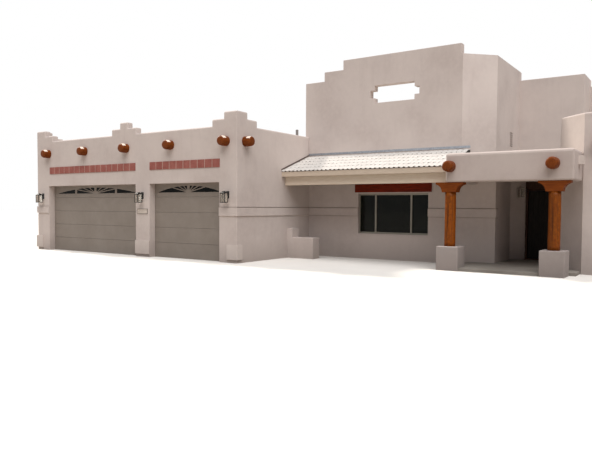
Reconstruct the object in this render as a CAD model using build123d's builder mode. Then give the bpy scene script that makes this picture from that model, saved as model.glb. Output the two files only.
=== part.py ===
"""Adobe house with stepped parapets, a two-door garage, a log portico and a tiled porch roof.

Millimetres. +X runs to the right along the garage front, +Y into the house, +Z up.
The origin is at ground level, at the middle of the house in plan.
"""

import math
import os

from build123d import *

os.makedirs("parts", exist_ok=True)

# Plan sizes
WALL = 250
HOUSE_DEPTH = 12000
GARAGE_WIDTH = 10010
GARAGE_DEPTH = 7200
MAIN_WIDTH = 6470
MAIN_SETBACK = 3950
ENTRY_WIDTH = 1770
ENTRY_SIDE = 1600
ENTRY_SPLAY = 370
WING_WIDTH = 5760
WING_SETBACK = 3020
WING_CHAMFER = 690

# Levels above the ground
FLOOR = 100
PORCH_FLOOR = 80
GARAGE_FLOOR = 60
PORCH_CEILING = 2800
PORCH_SLAB = 150
LOW_ROOF = 3400
UPPER_ROOF = 4950
ROOF_SLAB = 200
GARAGE_PARAPET = 4135
WING_PARAPET = 3730
STEP = 205

# Stepped pinnacles at the corners and over the middle of the garage front
CORNER_HIGH = 520
CORNER_LOW = 990
MIDDLE_HIGH = 400
MIDDLE_LOW = 1250

# Tower
TOWER_LEFT_OFFSET = 150
TOWER_TO_ENTRY = 240
TOWER_CHAMFER = 800
TOWER_SIDE = 2600
TOWER_TOP_LOW = 5990
TOWER_TOP_MIDDLE = 6300
TOWER_TOP_HIGH = 6615
TOWER_STEP_1 = 755
TOWER_STEP_2 = 735
TOWER_STEP_3 = 50
CUT_LEFT = 2665
CUT_WIDTH = 1385
CUT_BOTTOM = 5090
CUT_HEIGHT = 555
CUT_NOTCH = 160
CUT_NOTCH_HEIGHT = 240
REAR_BLOCK_SETBACK = 1050
REAR_BLOCK_WIDTH = 2760
REAR_BLOCK_TOP = 5750
VENT_SLOTS = 7
VENT_SLOT_WIDTH = 330
VENT_SLOT_HEIGHT = 35
VENT_SLOT_DEPTH = 60
VENT_SLOT_PITCH = 70
VENT_BOTTOM = 3700
VENT_SETBACK = 6450

# Garage doors
DOOR_HEIGHT = 2438
DOUBLE_DOOR_WIDTH = 4877
SINGLE_DOOR_WIDTH = 3048
GARAGE_LEFT_PIER = 720
GARAGE_RIGHT_PIER = 695
DOOR_THICKNESS = 50
DOOR_SECTIONS = 5
DOOR_JOINT = 6
DOOR_LAP = 60
DOUBLE_DOOR_LIGHTS = 4
SINGLE_DOOR_LIGHTS = 2
DOUBLE_FAN_WIDTH = 4500
SINGLE_FAN_WIDTH = 2820
FAN_RAIL = 145
FAN_HEIGHT = 210
FAN_HUB = 110
FAN_RAY_SHARES = (0.5, 0.3, 0.15)
FAN_BAR = 30
FAN_SKIN = 15
FAN_STILE = 110
FAN_MARGIN = 20

# Stucco bands and plinths
BAND_BOTTOM = 1415
BAND_HEIGHT = 250
BAND_PROUD = 28
BAND_JOINT = 22
BAND_JOINT_DEPTH = 16
PLINTH_BOTTOM = 100
PLINTH_HEIGHT = 450
PLINTH_PROUD = 50
PLINTH_WIDTH = 360
PLINTH_RETURN = 210
BAND_RETURN = 250

# Red tile bands over the garage doors
TILE_BAND_BOTTOM = 2890
TILE_HEIGHT = 255
TILE_JOINT = 14
TILE_PROUD = 20
TILE_PITCH = 306
TILE_BAND_INSET = 90
TILE_BAND_SINGLE_INSET = 30

# Logs
LOG_RADIUS = 155
LOG_LENGTH = 290
LOG_NOSE = 30
LOG_HEIGHT = 3655
WING_LOG_HEIGHT = 3400
PORTICO_LOG_HEIGHT = 2800
GARAGE_LOGS = (420, 2740, 4860, 7090, 9260)
WING_LOGS = (370, 2535, 4700)
REAR_LOGS = (1200, 5200, 9200, 13200)
PORTICO_LOGS = (130, 2730)
SIDE_LOG_FROM_FRONT = 390

# Portico
PORTICO_WIDTH = 3200
PORTICO_PAST_ENTRY = 660
PORTICO_SETBACK = 1900
PORTICO_BEAM_BOTTOM = 2385
PORTICO_PARAPET = 3160
PORTICO_BEAM = 400
PEDESTAL = 600
PEDESTAL_HEIGHT = 650
PEDESTAL_FORWARD = 50
COLUMN_RADIUS = 150
CORBEL_WIDTH = 760
CORBEL_HEIGHT = 270
CORBEL_LIP = 55
CORBEL_NECK = 200
CORBEL_SCROLL = 60
CORBEL_DEPTH = 300
PEDESTAL_PAST_BEAM = 220
PEDESTAL_GAP = 2060

# Tiled porch roof
ROOF_EAVE_SETBACK = 2270
EAVE_TILE_HEIGHT = 2890
ROOF_TOP_HEIGHT = 3480
TILE_THICKNESS = 60
ROOF_DECK_THICKNESS = 80
FASCIA_BOTTOM = 2680
FASCIA_THICKNESS = 40
FASCIA_SETBACK = 2300
FLASHING_HEIGHT = 70
FLASHING_THICKNESS = 12
RAKE_STRIP_HEIGHT = 40
EAVE_BEAM_SETBACK = 2500
EAVE_BEAM_BOTTOM = 2410

# Windows
WINDOW_WIDTH = 2449
WINDOW_HEIGHT = 1320
WINDOW_SILL = 830
WINDOW_LEFT = 1956
WINDOW_SET_BACK = 90
FRAME_WIDTH = 55
FRAME_DEPTH = 80
GLASS_THICKNESS = 12
SIDE_LIGHT_SHARE = 600
LINTEL_OVERHANG = 115
LINTEL_GAP = 36
LINTEL_HEIGHT = 285
LINTEL_PROUD = 35

# Lanterns, number plaque and vent pipe
LANTERN_WIDTH = 175
LANTERN_HEIGHT = 350
LANTERN_BOTTOM = 1810
ENTRY_LANTERN_BOTTOM = 2020
LANTERN_ARM = 95
LANTERN_POST = 16
LANTERN_CAP = 60
LANTERN_CAP_SLOPE = 45
LANTERN_ROD = 22
LANTERN_PLATE_WIDTH = 110
LANTERN_PLATE_HEIGHT = 220
LANTERN_PLATE = 14
PLAQUE_WIDTH = 500
PLAQUE_HEIGHT = 170
PLAQUE_BOTTOM = 1440
PLAQUE_THICKNESS = 20
PIPE_RADIUS = 50
PIPE_TOP = 4500
PIPE_FROM_GARAGE_CORNER = (-860, 4460)

SPOUT_FROM_FRONT = 640
SPOUT_WIDTH = 200
SPOUT_HEIGHT = 220
SPOUT_WALL = 20
SPOUT_LENGTH = 120
SPOUT_BOTTOM = 2790

# Stepped planter wall
PLANTER_SETBACK = 2640
PLANTER_DEPTH = 410
PLANTER_LENGTH = 1000
PLANTER_HEIGHT = 690
PLANTER_STEP_LENGTH = 190
PLANTER_STEP_HEIGHT = 300

# Entry door
DOOR_FRAME = 50
DOOR_FRAME_DEPTH = 140
DOOR_GAP = 5
LEAF_THICKNESS = 45
ENTRY_HEAD = 2300
ENTRY_LINTEL_HEIGHT = 230
HINGE_HEIGHT = 100
HINGE_PIN = 5
HINGE_RADIUS = 8
HINGE_REST = 1
HINGE_CLEARANCE = 0.3
HINGE_LEAF = 29
HINGE_PLATE = 3
HINGE_HEIGHTS = (300, 1180, 2060)
HANDLE_HEIGHT = 1050
HANDLE_INSET = 70
HANDLE_ROSE = 27
HANDLE_REACH = 55
HANDLE_LEVER = 115
HANDLE_BAR = 9
HANDLE_LEVER_WIDTH = 20
HANDLE_LEVER_THICKNESS = 10

# Places along X, from the left end of the garage
total_width = GARAGE_WIDTH + MAIN_WIDTH + ENTRY_WIDTH + WING_WIDTH
west = -total_width / 2
garage_x = west + GARAGE_WIDTH
entry_left = garage_x + MAIN_WIDTH
entry_right = entry_left + ENTRY_WIDTH
east = entry_right + WING_WIDTH
tower_left = garage_x - TOWER_LEFT_OFFSET
tower_right = entry_left - TOWER_TO_ENTRY
tower_corner = tower_right - TOWER_CHAMFER
rear_block_right = entry_right + REAR_BLOCK_WIDTH

# Places along Y, from the garage front
front = -HOUSE_DEPTH / 2
back = front + HOUSE_DEPTH
garage_back = front + GARAGE_DEPTH
main_y = front + MAIN_SETBACK
wing_y = front + WING_SETBACK
wing_chamfer_y = wing_y + WING_CHAMFER
tower_chamfer_y = main_y + TOWER_CHAMFER
tower_side_y = tower_chamfer_y + TOWER_SIDE
rear_block_y = tower_side_y + REAR_BLOCK_SETBACK
entry_side_y = main_y + ENTRY_SIDE
entry_door_y = entry_side_y + ENTRY_SPLAY
portico_y = front + PORTICO_SETBACK


def finish(builder, name):
    """Name a finished piece and write it."""
    builder.part.label = name
    export_step(builder.part, f"parts/{name}.step")


def mass(x_range, y_range, z_range, mode=Mode.ADD):
    """Add a level, square-cornered mass to the piece being built."""
    (x0, x1), (y0, y1), (z0, z1) = x_range, y_range, z_range
    with BuildSketch(Plane.XY.offset(z0)) as base:
        with Locations(((x0 + x1) / 2, (y0 + y1) / 2)):
            Rectangle(x1 - x0, y1 - y0)
    extrude(base.sketch, amount=z1 - z0, mode=mode)


def plan_mass(outline, bottom, top):
    """Add a mass that stands on a plan outline."""
    with BuildSketch(Plane.XY.offset(bottom)) as base:
        with BuildLine():
            Polyline(*outline, close=True)
        make_face()
    extrude(base.sketch, amount=top - bottom)


def front_wall(outline, y, thickness=WALL):
    """Add a wall along X, from its outline seen from the front, with its face at y."""
    with BuildSketch(Plane.XZ.offset(-y)) as face:
        with BuildLine():
            Polyline(*outline, close=True)
        make_face()
    extrude(face.sketch, amount=-thickness)


def side_wall(outline, x, thickness=WALL):
    """Add a wall along Y, from its outline in Y and Z, from x towards +X."""
    with BuildSketch(Plane.YZ.offset(x)) as face:
        with BuildLine():
            Polyline(*outline, close=True)
        make_face()
    extrude(face.sketch, amount=thickness)


def stepped_run(start, end, parapet, high, low):
    """Points along a parapet whose two ends step up to corner pinnacles."""
    return [
        (start, parapet + 2 * STEP),
        (start + high, parapet + 2 * STEP),
        (start + high, parapet + STEP),
        (start + low, parapet + STEP),
        (start + low, parapet),
        (end - low, parapet),
        (end - low, parapet + STEP),
        (end - high, parapet + STEP),
        (end - high, parapet + 2 * STEP),
        (end, parapet + 2 * STEP),
    ]


def side_parapet(start, end, parapet):
    """Points along a side parapet that steps down from the front corner."""
    return [
        (start, parapet + 2 * STEP),
        (start + CORNER_HIGH, parapet + 2 * STEP),
        (start + CORNER_HIGH, parapet + STEP),
        (start + CORNER_LOW, parapet + STEP),
        (start + CORNER_LOW, parapet),
        (end, parapet),
    ]


def log_end(plane):
    """Add a round log end that stands out of a wall, its nose cut back all round."""
    with BuildSketch(plane) as butt:
        Circle(LOG_RADIUS)
    log = extrude(butt.sketch, amount=LOG_LENGTH)
    nose = log.faces().sort_by(Axis(plane.origin, plane.z_dir))[-1]
    chamfer(nose.edges(), LOG_NOSE)


def cut_opening(plane):
    """Cut one window's opening through the wall whose outside face the plane lies on."""
    with BuildSketch(plane) as hole:
        Rectangle(WINDOW_WIDTH, WINDOW_HEIGHT, align=(Align.MIN, Align.MIN))
    extrude(hole.sketch, amount=-WALL, mode=Mode.SUBTRACT)


# Garage: piers, header, walls, roof and floor
double_left = west + GARAGE_LEFT_PIER
double_right = double_left + DOUBLE_DOOR_WIDTH
single_right = garage_x - GARAGE_RIGHT_PIER
single_left = single_right - SINGLE_DOOR_WIDTH
garage_middle = (west + garage_x) / 2
band = (BAND_BOTTOM, BAND_BOTTOM + BAND_HEIGHT)
band_face = (front - BAND_PROUD, front)
plinth = (PLINTH_BOTTOM, PLINTH_BOTTOM + PLINTH_HEIGHT)
plinth_face = (front - PLINTH_PROUD, front)
piers = [(west, double_left), (double_right, single_left), (single_right, garage_x)]
plinths = [(west, west + PLINTH_WIDTH), (double_right, single_left), (garage_x - PLINTH_WIDTH, garage_x)]

band_joints = [(BAND_BOTTOM - BAND_JOINT, BAND_BOTTOM), (band[1], band[1] + BAND_JOINT)]
with BuildPart() as garage_piers:
    for pier, foot in zip(piers, plinths):
        mass(pier, (front, front + WALL), (0, DOOR_HEIGHT))
        mass(foot, plinth_face, plinth)
    for pier in (piers[0], piers[-1]):
        mass(pier, band_face, band)
        for joint in band_joints:
            mass(pier, (front, front + BAND_JOINT_DEPTH), joint, Mode.SUBTRACT)
            mass((west, west + BAND_JOINT_DEPTH), (front, front + WALL), joint, Mode.SUBTRACT)
            mass((garage_x - BAND_JOINT_DEPTH, garage_x), (front, front + WALL), joint, Mode.SUBTRACT)
    for outside in ((west - PLINTH_PROUD, west), (garage_x, garage_x + PLINTH_PROUD)):
        mass(outside, (front - PLINTH_PROUD, front + PLINTH_RETURN), plinth)
    for outside in ((west - BAND_PROUD, west), (garage_x, garage_x + BAND_PROUD)):
        mass(outside, (front - BAND_PROUD, front + WALL), band)
finish(garage_piers, "garage_piers")

top = GARAGE_PARAPET
ends = stepped_run(west, garage_x, top, CORNER_HIGH, CORNER_LOW)
middle_steps = [
    (garage_middle - MIDDLE_LOW / 2, top),
    (garage_middle - MIDDLE_LOW / 2, top + STEP),
    (garage_middle - MIDDLE_HIGH / 2, top + STEP),
    (garage_middle - MIDDLE_HIGH / 2, top + 2 * STEP),
    (garage_middle + MIDDLE_HIGH / 2, top + 2 * STEP),
    (garage_middle + MIDDLE_HIGH / 2, top + STEP),
    (garage_middle + MIDDLE_LOW / 2, top + STEP),
    (garage_middle + MIDDLE_LOW / 2, top),
]
with BuildPart() as garage_header:
    front_wall([(west, DOOR_HEIGHT)] + ends[:5] + middle_steps + ends[5:] + [(garage_x, DOOR_HEIGHT)], front)
finish(garage_header, "garage_header")

with BuildPart() as garage_left_wall:
    run = side_parapet(front, garage_back, top)[1:]
    side_wall([(front + WALL, 0), (front + WALL, top + 2 * STEP)] + run + [(garage_back, 0)], west)
    mass((west - BAND_PROUD, west), (front + WALL, garage_back), band)
    for joint in band_joints:
        mass((west, west + BAND_JOINT_DEPTH), (front + WALL, garage_back), joint, Mode.SUBTRACT)
finish(garage_left_wall, "garage_left_wall")

with BuildPart() as garage_right_wall:
    run = side_parapet(front, main_y, top)[1:]
    run += [(main_y, LOW_ROOF), (garage_back, LOW_ROOF), (garage_back, 0)]
    side_wall([(front + WALL, 0), (front + WALL, top + 2 * STEP)] + run, garage_x - WALL)
    mass((garage_x, garage_x + BAND_PROUD), (front + WALL, main_y), band)
    for joint in band_joints:
        mass((garage_x - BAND_JOINT_DEPTH, garage_x), (front + WALL, main_y), joint, Mode.SUBTRACT)
finish(garage_right_wall, "garage_right_wall")

with BuildPart() as garage_back_wall:
    mass((west + WALL, garage_x - WALL), (garage_back - WALL, garage_back), (0, top))
finish(garage_back_wall, "garage_back_wall")

garage_inside = (west + WALL, garage_x - WALL)
with BuildPart() as garage_roof:
    mass(garage_inside, (front + WALL, garage_back - WALL), (LOW_ROOF - ROOF_SLAB, LOW_ROOF))
finish(garage_roof, "garage_roof")

door_back = front + WALL + DOOR_THICKNESS
with BuildPart() as garage_floor:
    mass(garage_inside, (door_back, garage_back - WALL), (0, GARAGE_FLOOR))
finish(garage_floor, "garage_floor")


# Sectional garage doors, hung against the inside face of the front wall
section_height = (DOOR_HEIGHT + DOOR_LAP - (DOOR_SECTIONS - 1) * DOOR_JOINT) / DOOR_SECTIONS
section_bottoms = [section * (section_height + DOOR_JOINT) for section in range(DOOR_SECTIONS)]
fan_bottom = section_bottoms[-1] + FAN_RAIL


def fan_panes(middle, width, lights, margin):
    """Add the outlines of the panes behind a sunburst, one to each light."""
    pane = width / lights - FAN_STILE + 2 * margin
    for index in range(lights):
        with Locations((middle + (index + 0.5 - lights / 2) * width / lights, fan_bottom + FAN_HEIGHT / 2)):
            Rectangle(pane, FAN_HEIGHT + 2 * margin)


def sunburst(middle, width, lights):
    """The openings of a low sunburst arch, between its rays, its hub and the stiles of its lights."""
    face = Plane(origin=(middle, front + WALL, fan_bottom), x_dir=(1, 0, 0), z_dir=(0, -1, 0))
    half = width / 2
    arch_radius = (half**2 + FAN_HEIGHT**2) / (2 * FAN_HEIGHT)
    with BuildSketch(face) as openings:
        with BuildLine():
            ThreePointArc((-half, 0), (0, FAN_HEIGHT), (half, 0))
            Line((half, 0), (-half, 0))
        make_face()
        Circle(FAN_HUB, mode=Mode.SUBTRACT)
        for share in FAN_RAY_SHARES:
            reach = share * half
            rise = math.sqrt(arch_radius**2 - reach**2) - arch_radius + FAN_HEIGHT
            angle = math.degrees(math.atan2(rise, reach))
            for lean in (angle, 180 - angle):
                Rectangle(width, FAN_BAR, rotation=lean, align=(Align.MIN, Align.CENTER), mode=Mode.SUBTRACT)
        for index in range(1, lights):
            with Locations((index * width / lights - half, FAN_HEIGHT / 2)):
                Rectangle(FAN_STILE, FAN_HEIGHT, mode=Mode.SUBTRACT)
    extrude(openings.sketch, amount=-FAN_SKIN, mode=Mode.SUBTRACT)


def garage_door(name, left, right, fan_width, lights):
    """One overhead door, its level sections one above the other, the top one with a sunburst."""
    middle = (left + right) / 2
    with BuildPart() as door:
        for bottom in section_bottoms:
            mass((left - DOOR_LAP, right + DOOR_LAP), (front + WALL, door_back), (bottom, bottom + section_height))
        with BuildSketch(Plane.XZ.offset(-(front + WALL + FAN_SKIN))) as pockets:
            fan_panes(middle, fan_width, lights, FAN_MARGIN)
        extrude(pockets.sketch, amount=-DOOR_THICKNESS, mode=Mode.SUBTRACT)
        sunburst(middle, fan_width, lights)
    finish(door, name)


garage_door("double_garage_door", double_left, double_right, DOUBLE_FAN_WIDTH, DOUBLE_DOOR_LIGHTS)
garage_door("single_garage_door", single_left, single_right, SINGLE_FAN_WIDTH, SINGLE_DOOR_LIGHTS)

double_middle = (double_left + double_right) / 2
single_middle = (single_left + single_right) / 2
with BuildPart() as garage_door_lights:
    with BuildSketch(Plane.XZ.offset(-(front + WALL + FAN_SKIN))) as panes:
        fan_panes(double_middle, DOUBLE_FAN_WIDTH, DOUBLE_DOOR_LIGHTS, FAN_MARGIN)
        fan_panes(single_middle, SINGLE_FAN_WIDTH, SINGLE_DOOR_LIGHTS, FAN_MARGIN)
    extrude(panes.sketch, amount=-GLASS_THICKNESS)
finish(garage_door_lights, "garage_door_lights")


# Red tiles over the garage doors
def tile_band(left, right):
    """Add a row of square tiles set on the stucco over one garage door."""
    count = round((right - left) / TILE_PITCH)
    pitch = (right - left + TILE_JOINT) / count
    for index in range(count):
        start = left + index * pitch
        mass((start, start + pitch - TILE_JOINT), (front - TILE_PROUD, front),
             (TILE_BAND_BOTTOM, TILE_BAND_BOTTOM + TILE_HEIGHT))


with BuildPart() as tile_bands:
    tile_band(double_left + TILE_BAND_INSET, double_right)
    tile_band(single_left + TILE_BAND_SINGLE_INSET, single_right + TILE_BAND_SINGLE_INSET)
finish(tile_bands, "tile_bands")

# Windows, each placed by the lower left corner of its opening on the outside of its wall
window_left = garage_x + WINDOW_LEFT
wing_corner_x = entry_right + WING_CHAMFER
wing_window_left = (wing_corner_x + east - WINDOW_WIDTH) / 2
side_window_left = (wing_y + back - WINDOW_WIDTH) / 2
main_window = Plane(origin=(window_left, main_y, WINDOW_SILL), x_dir=(1, 0, 0), z_dir=(0, -1, 0))
wing_window = Plane(origin=(wing_window_left, wing_y, WINDOW_SILL), x_dir=(1, 0, 0), z_dir=(0, -1, 0))
side_window = Plane(origin=(east, side_window_left, WINDOW_SILL), x_dir=(0, 1, 0), z_dir=(1, 0, 0))
back_windows = [
    Plane(origin=(left + WINDOW_WIDTH, back, WINDOW_SILL), x_dir=(-1, 0, 0), z_dir=(0, 1, 0))
    for left in (window_left, wing_window_left)
]
window_planes = [main_window, wing_window, side_window] + back_windows

# Main front wall, with the stepped tower over it
cut_left = tower_left + CUT_LEFT
cut_right = cut_left + CUT_WIDTH
notch_bottom = CUT_BOTTOM + CUT_NOTCH
step_1 = tower_left + TOWER_STEP_1
step_2 = step_1 + TOWER_STEP_2
step_3 = tower_corner - TOWER_STEP_3
main_wall_depth = (main_y, main_y + WALL)
with BuildPart() as main_front_wall:
    front_wall([(garage_x, 0), (entry_left, 0), (entry_left, PORCH_CEILING), (tower_corner, PORCH_CEILING),
                (tower_corner, TOWER_TOP_MIDDLE), (step_3, TOWER_TOP_MIDDLE), (step_3, TOWER_TOP_HIGH),
                (step_2, TOWER_TOP_HIGH), (step_2, TOWER_TOP_MIDDLE), (step_1, TOWER_TOP_MIDDLE),
                (step_1, TOWER_TOP_LOW), (tower_left, TOWER_TOP_LOW), (tower_left, LOW_ROOF),
                (garage_x, LOW_ROOF)], main_y)
    mass((garage_x + BAND_PROUD, entry_left), (main_y - BAND_PROUD, main_y + WALL / 2), band)
    mass((entry_left, entry_left + BAND_PROUD), (main_y - BAND_PROUD, main_y + BAND_RETURN), band)
    mass((window_left, window_left + WINDOW_WIDTH), (main_y - WALL, main_y), band, Mode.SUBTRACT)
    for joint in band_joints:
        mass((garage_x, entry_left), (main_y, main_y + BAND_JOINT_DEPTH), joint, Mode.SUBTRACT)
        mass((entry_left - BAND_JOINT_DEPTH, entry_left), (main_y, main_y + BAND_RETURN), joint, Mode.SUBTRACT)
    cut_opening(main_window)
    mass((cut_left, cut_right), main_wall_depth, (CUT_BOTTOM, CUT_BOTTOM + CUT_HEIGHT), Mode.SUBTRACT)
    mass((cut_left - CUT_NOTCH, cut_right + CUT_NOTCH), main_wall_depth,
         (notch_bottom, notch_bottom + CUT_NOTCH_HEIGHT), Mode.SUBTRACT)
finish(main_front_wall, "main_front_wall")

# Entry recess: straight side, splayed walls and the header over the door
with BuildPart() as entry_left_wall:
    mass((entry_left - WALL, entry_left), (main_y + WALL, entry_side_y), (0, PORCH_CEILING))
finish(entry_left_wall, "entry_left_wall")

splay_left = entry_left + ENTRY_SPLAY
splay_right = entry_right - ENTRY_SPLAY
entry_wall_depth = (entry_door_y, entry_door_y + WALL)
with BuildPart() as entry_splay_walls:
    for side, splay, outer in ((entry_left, splay_left, -WALL), (entry_right, splay_right, WALL)):
        plan_mass([(side, entry_side_y), (splay, entry_door_y), (splay, entry_door_y + WALL),
                   (side + outer, entry_side_y)], 0, PORCH_CEILING)
finish(entry_splay_walls, "entry_splay_walls")

entry_lintel = (ENTRY_HEAD, ENTRY_HEAD + ENTRY_LINTEL_HEIGHT)
with BuildPart() as entry_header:
    mass((splay_left, splay_right), entry_wall_depth, (entry_lintel[1], PORCH_CEILING))
finish(entry_header, "entry_header")

# Right wing
pinnacle_top = WING_PARAPET + 2 * STEP
with BuildPart() as wing_left_wall:
    side_wall([(wing_chamfer_y, 0), (entry_side_y, 0), (entry_side_y, PORCH_CEILING),
               (tower_side_y, PORCH_CEILING), (tower_side_y, WING_PARAPET), (wing_chamfer_y, WING_PARAPET)],
              entry_right)
finish(wing_left_wall, "wing_left_wall")

with BuildPart() as wing_corner_wall:
    plan_mass([(entry_right, wing_chamfer_y), (wing_corner_x, wing_y), (wing_corner_x, wing_y + WALL),
               (entry_right + WALL, wing_chamfer_y)], 0, pinnacle_top)
finish(wing_corner_wall, "wing_corner_wall")

with BuildPart() as wing_front_wall:
    run = stepped_run(wing_corner_x, east, WING_PARAPET, CORNER_HIGH, CORNER_LOW)
    front_wall([(wing_corner_x, 0)] + run + [(east, 0)], wing_y)
    cut_opening(wing_window)
finish(wing_front_wall, "wing_front_wall")

with BuildPart() as wing_right_wall:
    run = side_parapet(wing_y, back - WALL, WING_PARAPET)[1:]
    side_wall([(wing_y + WALL, 0), (wing_y + WALL, pinnacle_top)] + run + [(back - WALL, 0)], east - WALL)
    cut_opening(side_window)
finish(wing_right_wall, "wing_right_wall")

with BuildPart() as wing_roof:
    plan_mass([(entry_right + WALL, wing_chamfer_y), (wing_corner_x, wing_y + WALL), (east - WALL, wing_y + WALL),
               (east - WALL, back - WALL), (rear_block_right, back - WALL), (rear_block_right, rear_block_y),
               (entry_right, rear_block_y), (entry_right, tower_side_y), (entry_right + WALL, tower_side_y)],
              LOW_ROOF - ROOF_SLAB, LOW_ROOF)
finish(wing_roof, "wing_roof")

# Back wall and the upper walls behind the tower
with BuildPart() as back_wall:
    front_wall([(tower_left, 0), (east, 0), (east, WING_PARAPET), (rear_block_right, WING_PARAPET),
                (rear_block_right, REAR_BLOCK_TOP), (entry_right, REAR_BLOCK_TOP), (entry_right, TOWER_TOP_LOW),
                (tower_left, TOWER_TOP_LOW)], back - WALL)
    for plane in back_windows:
        cut_opening(plane)
finish(back_wall, "back_wall")

with BuildPart() as tower_left_wall:
    side_wall([(garage_back, 0), (back - WALL, 0), (back - WALL, TOWER_TOP_LOW), (main_y + WALL, TOWER_TOP_LOW),
               (main_y + WALL, LOW_ROOF), (garage_back, LOW_ROOF)], tower_left)
finish(tower_left_wall, "tower_left_wall")

with BuildPart() as tower_right_wall:
    plan_mass([(tower_corner, main_y), (tower_right, tower_chamfer_y), (tower_right, tower_side_y + WALL),
               (tower_right - WALL, tower_side_y + WALL), (tower_right - WALL, tower_chamfer_y),
               (tower_corner, main_y + WALL)], PORCH_CEILING, TOWER_TOP_MIDDLE)
    for slot in range(VENT_SLOTS):
        low = VENT_BOTTOM + slot * VENT_SLOT_PITCH
        mass((tower_right - VENT_SLOT_DEPTH, tower_right),
             (front + VENT_SETBACK - VENT_SLOT_WIDTH / 2, front + VENT_SETBACK + VENT_SLOT_WIDTH / 2),
             (low, low + VENT_SLOT_HEIGHT), Mode.SUBTRACT)
finish(tower_right_wall, "tower_right_wall")

with BuildPart() as middle_block_wall:
    plan_mass([(tower_right, tower_side_y), (entry_right, tower_side_y), (entry_right, rear_block_y + WALL),
               (entry_right - WALL, rear_block_y + WALL), (entry_right - WALL, tower_side_y + WALL),
               (tower_right, tower_side_y + WALL)], PORCH_CEILING, TOWER_TOP_LOW)
finish(middle_block_wall, "middle_block_wall")

with BuildPart() as rear_block_wall:
    plan_mass([(entry_right, rear_block_y), (rear_block_right, rear_block_y), (rear_block_right, back - WALL),
               (rear_block_right - WALL, back - WALL), (rear_block_right - WALL, rear_block_y + WALL),
               (entry_right, rear_block_y + WALL)], LOW_ROOF - ROOF_SLAB, REAR_BLOCK_TOP)
finish(rear_block_wall, "rear_block_wall")

with BuildPart() as upper_roof:
    plan_mass([(tower_left + WALL, main_y + WALL), (tower_corner, main_y + WALL),
               (tower_right - WALL, tower_chamfer_y), (tower_right - WALL, tower_side_y + WALL),
               (entry_right - WALL, tower_side_y + WALL), (entry_right - WALL, rear_block_y + WALL),
               (rear_block_right - WALL, rear_block_y + WALL), (rear_block_right - WALL, back - WALL),
               (tower_left + WALL, back - WALL)], UPPER_ROOF - ROOF_SLAB, UPPER_ROOF)
finish(upper_roof, "upper_roof")

# Floors of the house and the porch
with BuildPart() as house_floor:
    plan_mass([(garage_x, main_y + WALL), (entry_left - WALL, main_y + WALL), (entry_left - WALL, entry_side_y),
               (splay_left, entry_door_y + WALL), (splay_right, entry_door_y + WALL),
               (entry_right + WALL, entry_side_y), (entry_right + WALL, wing_chamfer_y),
               (wing_corner_x, wing_y + WALL), (east - WALL, wing_y + WALL), (east - WALL, back - WALL),
               (tower_left + WALL, back - WALL), (tower_left + WALL, garage_back), (garage_x, garage_back)],
              0, FLOOR)
finish(house_floor, "house_floor")

# Portico
portico_right = entry_right + PORTICO_PAST_ENTRY
portico_left = portico_right - PORTICO_WIDTH
portico_inside_y = portico_y + PORTICO_BEAM
chamfer_sum = entry_right + wing_chamfer_y
beam = (PORTICO_BEAM_BOTTOM, PORTICO_PARAPET)
with BuildPart() as portico_front_beam:
    mass((portico_left, portico_right), (portico_y, portico_inside_y), beam)
finish(portico_front_beam, "portico_front_beam")

with BuildPart() as portico_side_beams:
    plan_mass([(portico_right - WALL, portico_inside_y), (portico_right, portico_inside_y),
               (portico_right, chamfer_sum - portico_right),
               (portico_right - WALL, chamfer_sum - portico_right + WALL)], *beam)
    mass((portico_left, portico_left + WALL), (portico_inside_y, main_y), beam)
finish(portico_side_beams, "portico_side_beams")

with BuildPart() as porch_roof:
    plan_mass([(portico_left + WALL, portico_inside_y), (portico_right - WALL, portico_inside_y),
               (portico_right - WALL, chamfer_sum - portico_right + WALL),
               (entry_right, wing_chamfer_y), (entry_right, tower_side_y),
               (tower_right, tower_side_y), (tower_right, tower_chamfer_y),
               (tower_right - (tower_chamfer_y - main_y), main_y), (portico_left + WALL, main_y)],
              PORCH_CEILING, PORCH_CEILING + PORCH_SLAB)
finish(porch_roof, "porch_roof")

first_pedestal = portico_left - PEDESTAL_PAST_BEAM
pedestal_lefts = [first_pedestal, first_pedestal + PEDESTAL + PEDESTAL_GAP]
pedestal_front = portico_y - PEDESTAL_FORWARD
column_xs = [left + PEDESTAL / 2 for left in pedestal_lefts]
column_y = portico_y + PORTICO_BEAM / 2
corbel_bottom = PORTICO_BEAM_BOTTOM - CORBEL_HEIGHT
with BuildPart() as portico_pedestals:
    for left in pedestal_lefts:
        mass((left, left + PEDESTAL), (pedestal_front, pedestal_front + PEDESTAL), (0, PEDESTAL_HEIGHT))
finish(portico_pedestals, "portico_pedestals")

pedestal_back = pedestal_front + PEDESTAL
floor_step = pedestal_lefts[0] + PEDESTAL
with BuildPart() as porch_floor:
    plan_mass([(portico_left, pedestal_back), (floor_step, pedestal_back), (floor_step, portico_y),
               (pedestal_lefts[1], portico_y), (pedestal_lefts[1], pedestal_back),
               (portico_right, pedestal_back), (portico_right, chamfer_sum - portico_right),
               (entry_right, wing_chamfer_y), (entry_right, entry_side_y), (splay_right, entry_door_y),
               (splay_left, entry_door_y), (entry_left, entry_side_y), (entry_left, main_y),
               (portico_left, main_y)], 0, PORCH_FLOOR)
finish(porch_floor, "porch_floor")

with BuildPart() as portico_columns:
    with BuildSketch(Plane.XY.offset(PEDESTAL_HEIGHT)):
        with Locations(*[(x, column_y) for x in column_xs]):
            Circle(COLUMN_RADIUS)
    extrude(amount=corbel_bottom - PEDESTAL_HEIGHT)
finish(portico_columns, "portico_columns")

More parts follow.
